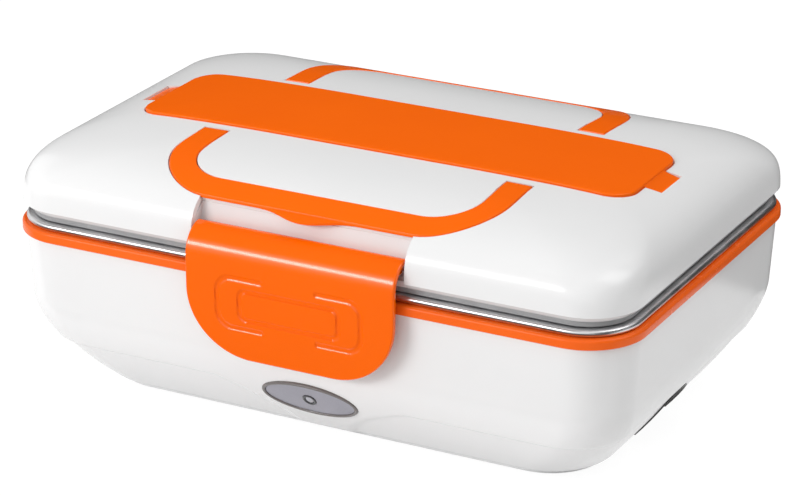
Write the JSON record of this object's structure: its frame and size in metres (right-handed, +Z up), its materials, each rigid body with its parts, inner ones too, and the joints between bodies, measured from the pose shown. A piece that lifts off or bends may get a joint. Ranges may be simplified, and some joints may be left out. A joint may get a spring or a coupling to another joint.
{
  "type": "electric lunch box",
  "caption": "White electric lunch box with an orange rim, front latch, two folding handles, a long lid cover and a steel food tray inside.",
  "frame": {"origin": "middle of the footprint on the table, under the centre of the overall box", "axes": "+X along the long side towards the power inlet, -Y towards the front with the latch, +Z up"},
  "size_m": [0.236, 0.1678, 0.0941],
  "materials": {
    "white_plastic": "gloss",
    "orange_plastic": "gloss",
    "steel": "polished",
    "inner_plastic": "satin",
    "plate_metal": "satin",
    "heater_black": "matte",
    "zinc_steel": "satin",
    "brass": "satin",
    "black_plastic": "satin",
    "badge_dark": "gloss",
    "badge_grey": "gloss",
    "lens_dark": "gloss",
    "board_green": "matte",
    "lead_red": "satin",
    "foot_rubber": "matte",
    "seal_grey": "matte"
  },
  "bodies": {
    "base": {"base_shell": "white_plastic", "rim_ring": "orange_plastic", "food_tray": "steel", "heating_well": "inner_plastic", "heater_plate": "plate_metal", "ptc_heater": "heater_black", "heater_clamp": "zinc_steel", "thermostat": "heater_black", "thermal_fuse": "brass", "inlet_socket": "black_plastic", "inlet_pins": "brass", "badge_bezel": "badge_dark", "badge_plate": "badge_grey", "lamp_lens": "lens_dark", "lamp_board": "board_green", "wiring_leads": "lead_red", "bottom_cover": "white_plastic", "cover_screws": "zinc_steel", "rubber_feet": "foot_rubber", "hinge_pin": "zinc_steel"},
    "lid": {"lid_shell": "white_plastic", "lid_liner": "inner_plastic", "lid_seal": "seal_grey", "lid_screws": "zinc_steel", "latch_pin": "zinc_steel"},
    "latch": {"latch": "orange_plastic"},
    "front_handle": {"front_handle": "orange_plastic"},
    "rear_handle": {"rear_handle": "orange_plastic"},
    "utensil_cover": {"utensil_cover": "orange_plastic"}
  },
  "joints": [
    {"name": "lid_hinge", "type": "hinge", "parent": "base", "child": "lid", "pos_m": [0, 0.0809, 0.067], "axis": [-1, 0, 0], "range_deg": [0, 105]},
    {"name": "latch_hinge", "type": "hinge", "parent": "lid", "child": "latch", "pos_m": [0, -0.0746, 0.0755], "axis": [-1, 0, 0], "range_deg": [0, 100]},
    {"name": "front_handle_hinge", "type": "hinge", "parent": "lid", "child": "front_handle", "pos_m": [0, -0.0326, 0.09103], "axis": [-1, 0, 0], "range_deg": [0, 100]},
    {"name": "rear_handle_hinge", "type": "hinge", "parent": "lid", "child": "rear_handle", "pos_m": [0, 0.0326, 0.09103], "axis": [1, 0, 0], "range_deg": [0, 100]},
    {"name": "cover_lift", "type": "slide", "parent": "lid", "child": "utensil_cover", "axis": [0, 0, 1], "range_m": [0, 0.06]}
  ]
}
